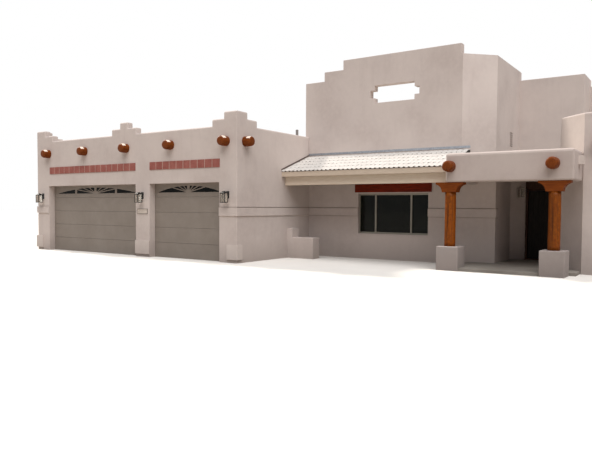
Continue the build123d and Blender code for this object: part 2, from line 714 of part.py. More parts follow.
with BuildPart() as portico_corbels:
    for x in column_xs:
        half = CORBEL_WIDTH / 2
        lip = PORTICO_BEAM_BOTTOM - CORBEL_LIP
        with BuildSketch(Plane.XZ.offset(-(column_y - CORBEL_DEPTH / 2))) as profile:
            with BuildLine():
                Polyline((x - half, lip), (x - half, PORTICO_BEAM_BOTTOM), (x + half, PORTICO_BEAM_BOTTOM),
                         (x + half, lip))
                for side in (1, -1):
                    ThreePointArc((x + side * half, lip),
                                  (x + side * (CORBEL_NECK + CORBEL_SCROLL), lip - CORBEL_SCROLL),
                                  (x + side * CORBEL_NECK, corbel_bottom))
                Line((x - CORBEL_NECK, corbel_bottom), (x + CORBEL_NECK, corbel_bottom))
            make_face()
        extrude(profile.sketch, amount=-CORBEL_DEPTH)
finish(portico_corbels, "portico_corbels")

# Log ends on the garage, the portico and the wing
log_places = [((garage_x - reach, front, LOG_HEIGHT), (0, -1, 0)) for reach in GARAGE_LOGS]
log_places += [((wing_corner_x + reach, wing_y, WING_LOG_HEIGHT), (0, -1, 0)) for reach in WING_LOGS]
log_places += [((portico_left + reach, portico_y, PORTICO_LOG_HEIGHT), (0, -1, 0)) for reach in PORTICO_LOGS]
log_places += [((tower_left + reach, back, WING_LOG_HEIGHT), (0, 1, 0)) for reach in REAR_LOGS]
log_places += [
    ((garage_x, front + SIDE_LOG_FROM_FRONT, LOG_HEIGHT), (1, 0, 0)),
    ((west, front + SIDE_LOG_FROM_FRONT, LOG_HEIGHT), (-1, 0, 0)),
    ((east, wing_y + SIDE_LOG_FROM_FRONT, WING_LOG_HEIGHT), (1, 0, 0)),
]
with BuildPart() as log_ends:
    for place, direction in log_places:
        log_end(Plane(origin=place, z_dir=direction))
finish(log_ends, "log_ends")

# Tiled porch roof between the garage and the portico
roof_eave_y = front + ROOF_EAVE_SETBACK
roof_slope = (ROOF_TOP_HEIGHT - EAVE_TILE_HEIGHT) / (main_y - roof_eave_y)
roof_length = portico_left - garage_x
fascia_y = front + FASCIA_SETBACK
deck_y = fascia_y + FASCIA_THICKNESS


def roof_at(y, under=0):
    """Point on the roof's slope at y, a given height under the tops of the tiles."""
    return (y, EAVE_TILE_HEIGHT + (y - roof_eave_y) * roof_slope - under)


deck_under = TILE_THICKNESS + ROOF_DECK_THICKNESS
with BuildPart() as roof_tiles:
    side_wall([roof_at(roof_eave_y, TILE_THICKNESS), roof_at(roof_eave_y), roof_at(main_y),
               roof_at(main_y, TILE_THICKNESS)], garage_x, roof_length)
finish(roof_tiles, "roof_tiles")

with BuildPart() as porch_roof_deck:
    side_wall([roof_at(deck_y, deck_under), roof_at(deck_y, TILE_THICKNESS), roof_at(main_y, TILE_THICKNESS),
               roof_at(main_y, deck_under)], garage_x, roof_length)
finish(porch_roof_deck, "porch_roof_deck")

with BuildPart() as porch_fascia:
    side_wall([(fascia_y, FASCIA_BOTTOM), roof_at(fascia_y, TILE_THICKNESS), roof_at(deck_y, TILE_THICKNESS),
               (deck_y, FASCIA_BOTTOM)], garage_x, roof_length)
finish(porch_fascia, "porch_fascia")

with BuildPart() as roof_flashing:
    mass((garage_x, portico_left), (main_y - FLASHING_THICKNESS, main_y),
         (ROOF_TOP_HEIGHT, ROOF_TOP_HEIGHT + FLASHING_HEIGHT))
    side_wall([roof_at(roof_eave_y), roof_at(roof_eave_y, -RAKE_STRIP_HEIGHT),
               roof_at(main_y - FLASHING_THICKNESS, -RAKE_STRIP_HEIGHT), roof_at(main_y - FLASHING_THICKNESS)],
              garage_x, FLASHING_THICKNESS)
finish(roof_flashing, "roof_flashing")

eave_beam_y = (front + EAVE_BEAM_SETBACK, front + EAVE_BEAM_SETBACK + WALL)
with BuildPart() as eave_beam:
    side_wall([(eave_beam_y[0], EAVE_BEAM_BOTTOM), roof_at(eave_beam_y[0], deck_under),
               roof_at(eave_beam_y[1], deck_under), (eave_beam_y[1], EAVE_BEAM_BOTTOM)], garage_x, roof_length)
finish(eave_beam, "eave_beam")

# Window frames, glass and wooden lintels
light_edges = [0, SIDE_LIGHT_SHARE, WINDOW_WIDTH - SIDE_LIGHT_SHARE, WINDOW_WIDTH]
light_centres = [(start + end) / 2 for start, end in zip(light_edges, light_edges[1:])]
light_widths = [end - start - FRAME_WIDTH for start, end in zip(light_edges, light_edges[1:])]


def window_lights(mode=Mode.ADD):
    """Add the outline of each of a window's three lights."""
    for centre, width in zip(light_centres, light_widths):
        with Locations((centre, WINDOW_HEIGHT / 2)):
            Rectangle(width, WINDOW_HEIGHT - 2 * FRAME_WIDTH, mode=mode)


with BuildPart() as window_frames:
    for plane in window_planes:
        with BuildSketch(plane.offset(-WINDOW_SET_BACK)) as frame:
            Rectangle(WINDOW_WIDTH, WINDOW_HEIGHT, align=(Align.MIN, Align.MIN))
            window_lights(Mode.SUBTRACT)
        extrude(frame.sketch, amount=-FRAME_DEPTH)
finish(window_frames, "window_frames")

with BuildPart() as window_glass:
    for plane in window_planes:
        with BuildSketch(plane.offset(-WINDOW_SET_BACK - FRAME_DEPTH / 2)) as panes:
            window_lights()
        extrude(panes.sketch, amount=-GLASS_THICKNESS)
finish(window_glass, "window_glass")

with BuildPart() as wooden_lintels:
    for plane in window_planes:
        with BuildSketch(plane) as timber:
            with Locations((-LINTEL_OVERHANG, WINDOW_HEIGHT + LINTEL_GAP)):
                Rectangle(WINDOW_WIDTH + 2 * LINTEL_OVERHANG, LINTEL_HEIGHT, align=(Align.MIN, Align.MIN))
        extrude(timber.sketch, amount=LINTEL_PROUD)
    mass((splay_left, splay_right), entry_wall_depth, entry_lintel)
finish(wooden_lintels, "wooden_lintels")

# Entry door with its frame, threshold, hinges and lever handles
inner_face = entry_door_y + WALL
frame_y = (inner_face - DOOR_FRAME_DEPTH, inner_face)
with BuildPart() as entry_door_frame:
    mass((splay_left, splay_right), frame_y, (FLOOR, ENTRY_HEAD))
    mass((splay_left + DOOR_FRAME, splay_right - DOOR_FRAME), frame_y, (FLOOR, ENTRY_HEAD - DOOR_FRAME), Mode.SUBTRACT)
    mass((splay_left, splay_right), entry_wall_depth, (0, FLOOR))
finish(entry_door_frame, "entry_door_frame")

leaf_left = splay_left + DOOR_FRAME + DOOR_GAP
leaf_right = splay_right - DOOR_FRAME - DOOR_GAP
leaf_y = (inner_face - LEAF_THICKNESS, inner_face)
with BuildPart() as entry_door:
    mass((leaf_left, leaf_right), leaf_y, (FLOOR + DOOR_GAP, ENTRY_HEAD - DOOR_FRAME - DOOR_GAP))
finish(entry_door, "entry_door")

hinge_x = leaf_left - DOOR_GAP / 2
hinge_y = inner_face + HINGE_RADIUS + HINGE_REST
knuckle = HINGE_HEIGHT / 3
plate_y = (inner_face, inner_face + HINGE_PLATE)
plate_start = HINGE_RADIUS + HINGE_REST


def barrel(radius, bottom, top, mode=Mode.ADD):
    """Add an upright round barrel on the hinge line."""
    with BuildSketch(Plane.XY.offset(bottom)) as ring:
        with Locations((hinge_x, hinge_y)):
            Circle(radius)
    extrude(ring.sketch, amount=top - bottom, mode=mode)


with BuildPart() as door_hinges:
    for low in HINGE_HEIGHTS:
        mass((hinge_x - plate_start - HINGE_LEAF, hinge_x - plate_start), plate_y, (low, low + HINGE_HEIGHT))
        for bottom in (low, low + 2 * knuckle):
            mass((hinge_x - plate_start, hinge_x), plate_y, (bottom, bottom + knuckle))
            barrel(HINGE_RADIUS, bottom, bottom + knuckle)
        barrel(HINGE_PIN, low, low + HINGE_HEIGHT)
finish(door_hinges, "door_hinges")

handle_x = leaf_right - HANDLE_INSET
with BuildPart() as door_hardware:
    for low in HINGE_HEIGHTS:
        span = (low + knuckle + HINGE_CLEARANCE, low + 2 * knuckle - HINGE_CLEARANCE)
        mass((hinge_x + plate_start, hinge_x + plate_start + HINGE_LEAF), plate_y, (low, low + HINGE_HEIGHT))
        mass((hinge_x, hinge_x + plate_start), plate_y, span)
        barrel(HINGE_RADIUS, *span)
        barrel(HINGE_PIN + HINGE_CLEARANCE, *span, mode=Mode.SUBTRACT)
    for face_y, out in ((leaf_y[0], -1), (leaf_y[1], 1)):
        with BuildSketch(Plane(origin=(handle_x, face_y, HANDLE_HEIGHT), z_dir=(0, out, 0))) as rose:
            Circle(HANDLE_ROSE)
        extrude(rose.sketch, amount=HANDLE_BAR)
        with BuildSketch(Plane(origin=(handle_x, face_y, HANDLE_HEIGHT), z_dir=(0, out, 0))) as neck:
            Circle(HANDLE_BAR)
        extrude(neck.sketch, amount=HANDLE_REACH)
        tip_y = face_y + out * HANDLE_REACH
        mass((handle_x - HANDLE_LEVER, handle_x + HANDLE_BAR), sorted((tip_y, tip_y + out * HANDLE_LEVER_THICKNESS)),
             (HANDLE_HEIGHT - HANDLE_LEVER_WIDTH / 2, HANDLE_HEIGHT + HANDLE_LEVER_WIDTH / 2))
finish(door_hardware, "door_hardware")

# Wall lanterns: one on each garage pier and one on the entry's left splay
lantern_planes = [
    Plane(origin=((left + right) / 2, front, LANTERN_BOTTOM), x_dir=(1, 0, 0), z_dir=(0, -1, 0))
    for left, right in piers
]
splay_middle = ((entry_left + splay_left) / 2, (entry_side_y + entry_door_y) / 2, ENTRY_LANTERN_BOTTOM)
lantern_planes.append(Plane(origin=splay_middle, x_dir=(1, 1, 0), z_dir=(1, -1, 0)))
lantern_box = LANTERN_HEIGHT - LANTERN_CAP
lantern_inside = LANTERN_WIDTH - 2 * LANTERN_POST
lantern_light = lantern_box - 2 * LANTERN_POST


def lantern_mass(plane, size, low, away, mode=Mode.ADD):
    """Add a square mass centred on a lantern, from its width, height and depth."""
    width, height, depth = size
    with BuildSketch(plane.offset(away)) as face:
        with Locations((0, low + height / 2)):
            Rectangle(width, height)
    extrude(face.sketch, amount=depth, mode=mode)


with BuildPart() as lantern_frames:
    for plane in lantern_planes:
        lantern_mass(plane, (LANTERN_WIDTH, lantern_box, LANTERN_WIDTH), 0, LANTERN_ARM)
        lantern_mass(plane, (lantern_inside, lantern_light, LANTERN_WIDTH), LANTERN_POST, LANTERN_ARM, Mode.SUBTRACT)
        lantern_mass(plane, (LANTERN_WIDTH, lantern_light, lantern_inside), LANTERN_POST,
                     LANTERN_ARM + LANTERN_POST, Mode.SUBTRACT)
        with BuildSketch(Plane(origin=plane.from_local_coords((0, lantern_box, LANTERN_ARM + LANTERN_WIDTH / 2)),
                               x_dir=plane.x_dir, z_dir=(0, 0, 1))) as eaves:
            Rectangle(LANTERN_WIDTH, LANTERN_WIDTH)
        extrude(eaves.sketch, amount=LANTERN_CAP, taper=LANTERN_CAP_SLOPE)
        lantern_mass(plane, (LANTERN_ROD, LANTERN_ROD, LANTERN_ARM + LANTERN_WIDTH / 2), lantern_box, 0)
        lantern_mass(plane, (LANTERN_PLATE_WIDTH, LANTERN_PLATE_HEIGHT, LANTERN_PLATE),
                     LANTERN_HEIGHT - LANTERN_PLATE_HEIGHT, 0)
finish(lantern_frames, "lantern_frames")

with BuildPart() as lantern_glass:
    for plane in lantern_planes:
        lantern_mass(plane, (lantern_inside, lantern_light, lantern_inside), LANTERN_POST, LANTERN_ARM + LANTERN_POST)
finish(lantern_glass, "lantern_glass")

# Bare number plaque on the centre pier
plaque_middle = (double_right + single_left) / 2
with BuildPart() as number_plaque:
    mass((plaque_middle - PLAQUE_WIDTH / 2, plaque_middle + PLAQUE_WIDTH / 2), (front - PLAQUE_THICKNESS, front),
         (PLAQUE_BOTTOM, PLAQUE_BOTTOM + PLAQUE_HEIGHT))
finish(number_plaque, "number_plaque")

# Vent pipe on the garage roof
pipe_x, pipe_y = PIPE_FROM_GARAGE_CORNER
with BuildPart() as vent_pipe:
    with BuildSketch(Plane.XY.offset(LOW_ROOF)):
        with Locations((garage_x + pipe_x, front + pipe_y)):
            Circle(PIPE_RADIUS)
    extrude(amount=PIPE_TOP - LOW_ROOF)
finish(vent_pipe, "vent_pipe")

# Spout that drains the portico roof
spout_y = portico_y + SPOUT_FROM_FRONT
spout_sides = (spout_y - SPOUT_WIDTH / 2, spout_y + SPOUT_WIDTH / 2)
with BuildPart() as rain_spout:
    mass((portico_right, portico_right + SPOUT_LENGTH), spout_sides, (SPOUT_BOTTOM, SPOUT_BOTTOM + SPOUT_HEIGHT))
    mass((portico_right, portico_right + SPOUT_LENGTH), (spout_sides[0] + SPOUT_WALL, spout_sides[1] - SPOUT_WALL),
         (SPOUT_BOTTOM + SPOUT_WALL, SPOUT_BOTTOM + SPOUT_HEIGHT), Mode.SUBTRACT)
finish(rain_spout, "rain_spout")

# Stepped planter wall beside the garage
planter_y = (front + PLANTER_SETBACK, front + PLANTER_SETBACK + PLANTER_DEPTH)
planter_top = PLANTER_HEIGHT + PLANTER_STEP_HEIGHT
with BuildPart() as planter_wall:
    front_wall([(garage_x, 0), (garage_x + PLANTER_LENGTH, 0), (garage_x + PLANTER_LENGTH, PLANTER_HEIGHT),
                (garage_x + PLANTER_STEP_LENGTH, PLANTER_HEIGHT), (garage_x + PLANTER_STEP_LENGTH, planter_top),
                (garage_x, planter_top)], planter_y[0], PLANTER_DEPTH)
finish(planter_wall, "planter_wall")
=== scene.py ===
"""Looks of the adobe house: stucco coat, log ends, garage doors, tiled porch roof, lanterns and windows."""

import math
import random

import bmesh
import bpy
from mathutils import Matrix, Vector


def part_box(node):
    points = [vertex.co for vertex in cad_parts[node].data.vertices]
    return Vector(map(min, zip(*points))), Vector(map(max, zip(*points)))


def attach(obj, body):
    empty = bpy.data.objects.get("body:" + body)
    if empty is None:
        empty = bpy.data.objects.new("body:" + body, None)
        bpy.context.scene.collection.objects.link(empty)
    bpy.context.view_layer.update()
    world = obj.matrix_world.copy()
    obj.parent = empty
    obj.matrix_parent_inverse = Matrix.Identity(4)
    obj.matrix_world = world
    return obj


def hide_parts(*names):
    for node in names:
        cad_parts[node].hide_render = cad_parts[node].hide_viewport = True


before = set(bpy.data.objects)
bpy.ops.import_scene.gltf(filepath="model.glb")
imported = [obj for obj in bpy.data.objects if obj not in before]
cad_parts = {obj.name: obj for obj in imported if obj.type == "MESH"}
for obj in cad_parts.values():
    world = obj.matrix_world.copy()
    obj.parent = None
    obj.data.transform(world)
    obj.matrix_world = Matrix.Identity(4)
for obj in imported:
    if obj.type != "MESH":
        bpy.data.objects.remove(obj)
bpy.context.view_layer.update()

MM = 0.001


def linear(code):
    """Turn an sRGB hex colour into linear red, green, blue and alpha."""
    channels = [int(code[i : i + 2], 16) / 255 for i in (1, 3, 5)]
    return [c / 12.92 if c <= 0.04045 else ((c + 0.055) / 1.055) ** 2.4 for c in channels] + [1.0]


def add(tree, kind, inputs=None, **settings):
    """Add a node with its settings, and set or link its inputs."""
    made = tree.nodes.new(kind)
    for name, value in settings.items():
        setattr(made, name, value)
    for socket, value in (inputs or {}).items():
        if isinstance(value, bpy.types.NodeSocket):
            tree.links.new(value, made.inputs[socket])
        else:
            made.inputs[socket].default_value = value
    return made


def start(name, roughness, **sockets):
    """A new material with its shader, and the object coordinates that its pattern reads."""
    material = bpy.data.materials.new(name)
    material.use_nodes = True
    tree = material.node_tree
    shader = tree.nodes["Principled BSDF"]
    shader.inputs["Roughness"].default_value = roughness
    for socket, value in sockets.items():
        shader.inputs[socket.replace("_", " ")].default_value = value
    place = add(tree, "ShaderNodeTexCoord").outputs["Object"]
    return material, tree, shader, place


def cloud(tree, place, size, stretch=(1, 1, 1), detail=3.0):
    """Uneven pattern in patches about size metres across, longer along an axis that stretch lowers."""
    turned = add(tree, "ShaderNodeMapping", {"Vector": place, "Scale": stretch}).outputs["Vector"]
    settings = {"Vector": turned, "Scale": 1 / size, "Detail": detail, "Roughness": 0.58}
    return add(tree, "ShaderNodeTexNoise", settings).outputs["Fac"]


def tint(tree, under, over, pattern, low, high, least=0.0, most=1.0):
    """Lay one colour over another: its least share where a pattern is low, its most where it is high."""
    under, over = [linear(colour) if isinstance(colour, str) else colour for colour in (under, over)]
    settings = {"Value": pattern, "From Min": low, "From Max": high, "To Min": least, "To Max": most}
    share = add(tree, "ShaderNodeMapRange", settings, clamp=True).outputs["Result"]
    return add(tree, "ShaderNodeMix", {0: share, 6: under, 7: over}, data_type="RGBA").outputs[2]


def surface(tree, shader, colour, height=None, depth=0.0):
    """Give the shader its colour, and a relief of a real depth in metres where a height is given."""
    tree.links.new(colour, shader.inputs["Base Color"])
    if height is not None:
        bump = add(tree, "ShaderNodeBump", {"Height": height, "Distance": depth, "Strength": 0.5})
        tree.links.new(bump.outputs["Normal"], shader.inputs["Normal"])


def mottled(name, roughness, dark, light, size, depth=0.0, **sockets):
    """A finish in two tones, in patches of a size, and a relief of that pattern where it has a depth."""
    material, tree, shader, place = start(name, roughness, **sockets)
    pattern = cloud(tree, place, size)
    surface(tree, shader, tint(tree, dark, light, pattern, 0.33, 0.67), pattern if depth else None, depth)
    return material


def sand_stucco(name, base, light, dark, dust_and_shade_foot):
    """Cement stucco floated with sand: matt, with trowel clouds, faint rain streaks, and a foot darkened by
    dust and painted shade.
    """
    material, tree, shader, place = start(name, 0.92, Specular_IOR_Level=0.3)
    clouds = cloud(tree, place, 1.6, detail=4.0)
    colour = tint(tree, base, light, clouds, 0.5, 0.65, 0.0, 0.45)
    colour = tint(tree, dark, colour, clouds, 0.35, 0.5, 0.55, 1.0)
    colour = tint(tree, colour, dark, cloud(tree, place, 0.22, (1, 1, 0.12)), 0.55, 0.8, 0.0, 0.3)
    colour = tint(tree, colour, light, cloud(tree, place, 0.12), 0.4, 0.7, 0.0, 0.25)
    # Darker over the lowest 700 mm: dust from rain splashes, deepened with painted shade
    height = add(tree, "ShaderNodeSeparateXYZ", {0: place}).outputs["Z"]
    colour = tint(tree, colour, dust_and_shade_foot, height, 0.05, 0.7, 0.5, 0.0)
    # Sand grains of 2 mm are drawn 14 mm wide, so that they show at the render's size
    heights = {0: cloud(tree, place, 0.014), 1: cloud(tree, place, 0.3)}
    surface(tree, shader, colour, add(tree, "ShaderNodeMath", heights, operation="ADD").outputs[0], 0.006)
    return material


# Cement stucco on the walls; darker on the portico and darker still on its pedestals as painted shade; paler
# on the plinths
stucco = sand_stucco("sanded_stucco", "#cec3be", "#d9cec8", "#baada8", "#978c86")
shaded_porch_stucco = sand_stucco("porch_stucco_with_painted_shade", "#bfb3ae", "#c8bdb7", "#ada09a", "#9b8f88")
shaded_pedestal_stucco = sand_stucco("pedestal_stucco_with_painted_shade", "#a59c99", "#aea5a2", "#938a87", "#857c78")
plinth_stucco = sand_stucco("smooth_plinth_stucco", "#d6ccc7", "#ddd3cd", "#c6bab4", "#b0a49c")

# Painted shade in the joints along the stucco band, darker than the wall, and fainter in the lower joint
painted_joint_shade = mottled("painted_shade_in_stucco_joint", 0.95, "#a2968f", "#aea29b", 0.3, Specular_IOR_Level=0.1)
faint_painted_joint_shade = mottled("faint_painted_shade_in_stucco_joint", 0.95, "#b5aaa3", "#c0b5ae", 0.3,
                      Specular_IOR_Level=0.1)
# Painted light in the garage's joints: pale stucco that outshines the shade of their own depth
painted_joint_light = mottled("painted_light_in_stucco_joint", 0.95, "#e4dad3", "#ece3dc", 0.3, Specular_IOR_Level=0.1)

# Fired clay: matt red quarry tile, each a little different, speckled by the kiln
red_clay, tree, shader, place = start("fired_red_clay", 0.75)
colour = tint(tree, "#8b4b42", "#9f6056", cloud(tree, place, 0.3), 0.35, 0.65)
specks = cloud(tree, place, 0.02)
surface(tree, shader, tint(tree, colour, "#75413a", specks, 0.4, 0.7, 0.0, 0.35), specks, 0.002)

# Pale cement mortar between the red tiles
band_mortar = mottled("pale_joint_mortar", 0.9, "#d2c2b6", "#e0d2c7", 0.05, Specular_IOR_Level=0.1)

# Roofing clay bleached by the sun, with grey weathering
pale_clay, tree, shader, place = start("sun_bleached_clay", 0.85)
colour = tint(tree, "#c9c5c1", "#d3cfcb", cloud(tree, place, 0.35), 0.35, 0.65)
specks = cloud(tree, place, 0.05)
surface(tree, shader, tint(tree, colour, "#bcb5af", specks, 0.5, 0.75, 0.0, 0.5), specks, 0.003)

# Baked satin enamel on ribbed steel: grey brown under a little dust, with wood grain pressed in, 8 mm apart
door_paint, tree, shader, place = start("satin_enamel_on_steel", 0.55, Specular_IOR_Level=0.3)
colour = tint(tree, "#857c74", "#8f867e", cloud(tree, place, 0.5), 0.3, 0.7)
surface(tree, shader, colour, cloud(tree, place, 0.05, (0.12, 1, 6)), 0.0015)


def peeled_log(name, base, light, dark, ring_gap):
    """Varnished peeled pine: long grain, rings on the sawn end, painted shade in drying cracks, a painted
    sun highlight and a wet sheen.
    """
    material, tree, shader, _ = start(name, 0.5, Specular_IOR_Level=0.1, Coat_Weight=0.08,
                                      Coat_Roughness=0.18)
    along = add(tree, "ShaderNodeAttribute", attribute_name="log_grain").outputs["Vector"]
    grain = cloud(tree, along, 0.02, (1, 1, 0.05))
    # Growth rings: the distance from the log's core, bent a little, goes up and down once in each gap
    flat = add(tree, "ShaderNodeVectorMath", {0: along, 1: (1, 1, 0)}, operation="MULTIPLY").outputs[0]
    sway = {0: flat, 1: cloud(tree, along, 0.08)}
    bent = add(tree, "ShaderNodeVectorMath", sway, operation="ADD").outputs[0]
    reach = add(tree, "ShaderNodeVectorMath", {0: bent}, operation="LENGTH").outputs["Value"]
    turns = add(tree, "ShaderNodeMath", {0: reach, 1: ring_gap}, operation="PINGPONG").outputs[0]
    colour = tint(tree, base, light, grain, 0.35, 0.7)
    colour = tint(tree, colour, dark, turns, 0, ring_gap, 0.0, 0.45)
    colour = tint(tree, colour, dark, cloud(tree, along, 0.06, (1, 1, 0.04)), 0.64, 0.70)
    # Painted shade in the drying cracks, where a post carries them
    crack_shade_share = add(tree, "ShaderNodeAttribute", attribute_name="painted_crack_shade").outputs["Fac"]
    colour = tint(tree, colour, dark, crack_shade_share, 0.0, 1.0)
    # A painted sun highlight, near white, where a log carries it
    sun_highlight = add(tree, "ShaderNodeAttribute", attribute_name="painted_sun_highlight").outputs["Fac"]
    surface(tree, shader, tint(tree, colour, "#fbeadb", sun_highlight, 0.3, 0.7), grain, 0.003)
    return material


# Growth rings of 6 mm are drawn 18 mm apart, so that they show; the posts, under cover, show none
log_wood = peeled_log("varnished_peeled_pine", "#6e3009", "#8c480f", "#2f1204", 0.018)
post_wood = peeled_log("varnished_pine_post", "#7f3e08", "#96510f", "#301505", 0.5)


def stained_wood(name, light, dark, along):
    """Sawn softwood under a dark stain, with the grain along one axis."""
    material, tree, shader, place = start(name, 0.6, Specular_IOR_Level=0.15)
    grain = cloud(tree, place, 0.025, along)
    surface(tree, shader, tint(tree, dark, light, grain, 0.35, 0.7), grain, 0.002)
    return material


# Pine: painted cream along the porch roof's edge, oiled or stained on beams and lintels, darker at the entry
ALONG_X = (0.1, 1, 1)
ALONG_Z = (1, 1, 0.1)
fascia_wood = stained_wood("painted_fascia_pine", "#d6c7b6", "#c9b9a7", ALONG_X)
# The eave beam's near-white cream is partly its paint and partly painted light standing for the ground's
# bounce
bounce_lit_eave_paint = stained_wood("cream_eave_paint_with_painted_bounce_light", "#f6ead9", "#ecdcc8", ALONG_X)
lintel_wood = stained_wood("stained_lintel_pine", "#8c2a0a", "#5c1806", ALONG_X)
beam_wood = stained_wood("oiled_sawn_pine", "#83420f", "#693009", ALONG_X)
frame_wood = stained_wood("stained_door_frame_pine", "#54392c", "#38241b", ALONG_Z)
door_wood = stained_wood("dark_painted_door_pine", "#2e2925", "#1f1b18", ALONG_Z)

# Galvanised sheet gone dull: blue grey spangle
flashing = mottled("weathered_galvanised_sheet", 0.5, "#8a8e96", "#a6abb3", 0.04, Metallic=0.7)
# Brown enamel on the thin strip that closes the tiles against the garage
strip_paint = mottled("brown_enamel_strip", 0.6, "#453730", "#574840", 0.1)
# The spout's sheet metal, painted like the walls
spout_paint = mottled("stucco_coloured_enamel", 0.7, "#c4b9b3", "#d2c8c2", 0.2)
# Beige grey enamel on the aluminium window frames
frame_paint = mottled("enamel_on_aluminium", 0.4, "#908b7f", "#9f9a8e", 0.3)
# Float glass, tinted so dark that it reads black from outside: painted shade of the dark rooms behind
glass = mottled("float_glass_darkened_as_painted_shade", 0.05, "#2c3128", "#3a3f35", 0.4,
                Transmission_Weight=0.8, IOR=1.18, Specular_IOR_Level=0.2)
# Glass in the garage doors, tinted blacker than the windows as painted shade of the dark garage behind
shade_black_glass = mottled("door_glass_blackened_as_painted_shade", 0.06, "#0d0e0c", "#151613", 0.4,
                     Transmission_Weight=0.5, IOR=1.18, Specular_IOR_Level=0.2)
# Seeded lantern glass, clear with a faint cloud
seeded_glass = mottled("seeded_lantern_glass", 0.12, "#cfc8be", "#e0dad0", 0.02, 0.002,
                       Transmission_Weight=0.85, IOR=1.2)
# Black powder coat on wrought iron, dull and slightly pitted
black_iron = mottled("black_powder_coat", 0.5, "#141312", "#1f1c1a", 0.03, 0.001, Metallic=0.3)
# Off-white enamel on the small lantern beside the entry
pale_enamel = mottled("off_white_enamel", 0.5, "#b3aca4", "#c6bfb7", 0.05)
# Glazed plaque, plain, and the grey fired rim round it
plaque_glaze = mottled("glazed_plaque_tile", 0.25, "#c2b5aa", "#d4c9be", 0.03)
plaque_rim = mottled("grey_plaque_rim", 0.5, "#6f665f", "#8a8078", 0.04)
# Vent pipe of black ABS, greyed by the sun
vent_plastic = mottled("sun_dulled_abs_pipe", 0.6, "#7c7a7a", "#8a8888", 0.1)
# Black roofing felt under the tiles, and mortar that closes the barrels of every course, near black as
# painted shade
roof_felt = mottled("bitumen_roofing_felt", 0.9, "#241f1c", "#38312c", 0.05)
shade_dark_mortar = mottled("mortar_stop_with_painted_shade", 0.95, "#241e1b", "#342c27", 0.03, Specular_IOR_Level=0.1)
# Steel-trowelled concrete, with wide damp stains, darkened as painted shade under the roofs
shade_dark_concrete = mottled("trowelled_concrete_with_painted_shade", 0.8, "#7f7972", "#938d86", 0.8, 0.002)

# Gravelled flat roofing, whose underside is the plastered ceiling; stones of 10 mm are drawn 30 mm wide
gravel_roof, tree, shader, place = start("gravelled_roofing", 0.95)
gravel = tint(tree, "#b0a89e", "#c6beb4", cloud(tree, place, 0.03), 0.35, 0.65)
gravel = tint(tree, gravel, "#9c9287", cloud(tree, place, 1.2), 0.4, 0.7, 0.0, 0.4)
level = add(tree, "ShaderNodeNewGeometry").outputs["True Normal"]
upward = add(tree, "ShaderNodeSeparateXYZ", {0: level}).outputs["Z"]
stones = add(tree, "ShaderNodeTexVoronoi", {"Vector": place, "Scale": 1 / 0.03}).outputs["Distance"]
surface(tree, shader, tint(tree, "#b3a69f", gravel, upward, -0.01, 0.01), stones, 0.006)

# CAD nodes that are shown as they are; the pieces below stand for all the others
finishes = {
    "porch_roof_deck": roof_felt,
    "window_glass": glass,
    "garage_door_lights": shade_black_glass,
    "double_garage_door": door_paint,
    "single_garage_door": door_paint,
    "entry_door_frame": frame_wood,
    "door_hinges": black_iron,
    "door_hardware": black_iron,
    "lantern_glass": seeded_glass,
    "vent_pipe": vent_plastic,
    "rain_spout": spout_paint,
    "garage_roof": gravel_roof,
    "wing_roof": gravel_roof,
    "upper_roof": gravel_roof,
    "porch_roof": gravel_roof,
    "garage_floor": shade_dark_concrete,
    "house_floor": shade_dark_concrete,
    "porch_floor": shade_dark_concrete,
}
for name, finish in finishes.items():
    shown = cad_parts[name].data.materials
    shown.clear()
    shown.append(finish)


def placed(name, data):
    """Put a mesh, a lamp or a camera into the scene as a new object."""
    made = bpy.data.objects.new(name, data)
    bpy.context.scene.collection.objects.link(made)
    return made


def piece(name, mesh, materials, replaced, body="house"):
    """Link a finished mesh as a piece that moves with a body and stands for CAD nodes."""
    data = bpy.data.meshes.new(name)
    mesh.to_mesh(data)
    mesh.free()
    made = placed(name, data)
    for finish in materials:
        data.materials.append(finish)
    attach(made, body)
    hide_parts(*replaced)


# Corners closer than this are one, in a CAD node and after a union; faces that bend less are flat
WELD = 0.05 * MM
UNION_WELD = 0.2 * MM
FLAT_ANGLE = math.radians(1)


def flattened(mesh, weld):
    """Weld a mesh's corners and merge its triangles into flat faces."""
    bmesh.ops.remove_doubles(mesh, verts=mesh.verts, dist=weld)
    bmesh.ops.dissolve_limit(mesh, angle_limit=FLAT_ANGLE, verts=mesh.verts, edges=mesh.edges)
    return mesh


def clean_copy(name):
    """A copy of a CAD node's mesh with flat faces."""
    copy = bmesh.new()
    copy.from_mesh(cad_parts[name].data)
    return flattened(copy, WELD)


def islands(name):
    """The lowest and highest corners of each separate solid of a CAD node."""
    solid = bmesh.new()
    solid.from_mesh(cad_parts[name].data)
    bmesh.ops.remove_doubles(solid, verts=solid.verts, dist=WELD)
    left = dict.fromkeys(solid.verts)
    found = []
    while left:
        stack = [left.popitem()[0]]
        places = []
        while stack:
            vert = stack.pop()
            places.append(vert.co.copy())
            near = [edge.other_vert(vert) for edge in vert.link_edges]
            stack += [other for other in near if left.pop(other, 0) is None]
        low = Vector([min(place[axis] for place in places) for axis in range(3)])
        high = Vector([max(place[axis] for place in places) for axis in range(3)])
        found.append((low, high))
    solid.free()
    return sorted(found, key=lambda pair: tuple(pair[0]))


